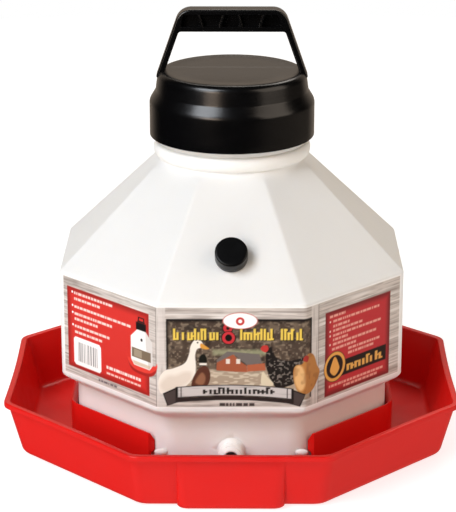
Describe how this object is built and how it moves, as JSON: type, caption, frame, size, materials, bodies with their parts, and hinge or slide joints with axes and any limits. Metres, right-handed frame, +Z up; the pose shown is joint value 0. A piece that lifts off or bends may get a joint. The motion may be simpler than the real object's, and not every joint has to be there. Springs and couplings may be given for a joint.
{
  "type": "poultry waterer fount",
  "caption": "Octagonal poultry waterer: drinking tray, white shouldered jug with wrap label, black screw lid with carrying handle, and a small stop cap.",
  "frame": {"origin": "centre of the tray's underside, on the surface that the waterer stands on", "axes": "+Z up; -Y towards the drinking front, where the outlet spout and the tray's bay are; +X to the right seen from the front"},
  "size_m": [0.372, 0.372, 0.3586],
  "materials": {
    "red_plastic": "moulded, satin gloss",
    "white_plastic": "blow-moulded, slightly translucent",
    "label_film": "printed film",
    "black_plastic": "moulded, satin gloss",
    "seal_rubber": "plain"
  },
  "bodies": {
    "tray": {"base_tray": "red_plastic"},
    "fount": {"jug": "white_plastic", "wrap_label": "label_film"},
    "lid_carrier": {"lid_gasket": "seal_rubber"},
    "lid": {"lid_handle": "black_plastic"},
    "cap_carrier": {"cap_liner": "seal_rubber"},
    "cap": {"stop_cap": "black_plastic"}
  },
  "joints": [
    {"name": "jug_lift", "type": "slide", "parent": "tray", "child": "fount", "axis": [0, 0, 1], "range_m": [0, 0.06]},
    {"name": "lid_rise", "type": "slide", "parent": "fount", "child": "lid_carrier", "axis": [0, 0, 1], "range_m": [0, 0.01201]},
    {"name": "lid_screw", "type": "hinge", "parent": "lid_carrier", "child": "lid", "pos_m": [0, 0, 0.28], "axis": [0, 0, 1], "range_deg": [0, 540]},
    {"name": "cap_rise", "type": "slide", "parent": "fount", "child": "cap_carrier", "axis": [0, -0.7158, 0.6983], "range_m": [0, 0.00481]},
    {"name": "cap_screw", "type": "hinge", "parent": "cap_carrier", "child": "cap", "pos_m": [0, -0.11093, 0.18377], "axis": [0, -0.7158, 0.6983], "range_deg": [0, 540]}
  ],
  "couplings": [
    {"joint": "lid_rise", "follows": "lid_screw", "m_per_rad": 0.0012732},
    {"joint": "cap_rise", "follows": "cap_screw", "m_per_rad": 0.0005093}
  ]
}
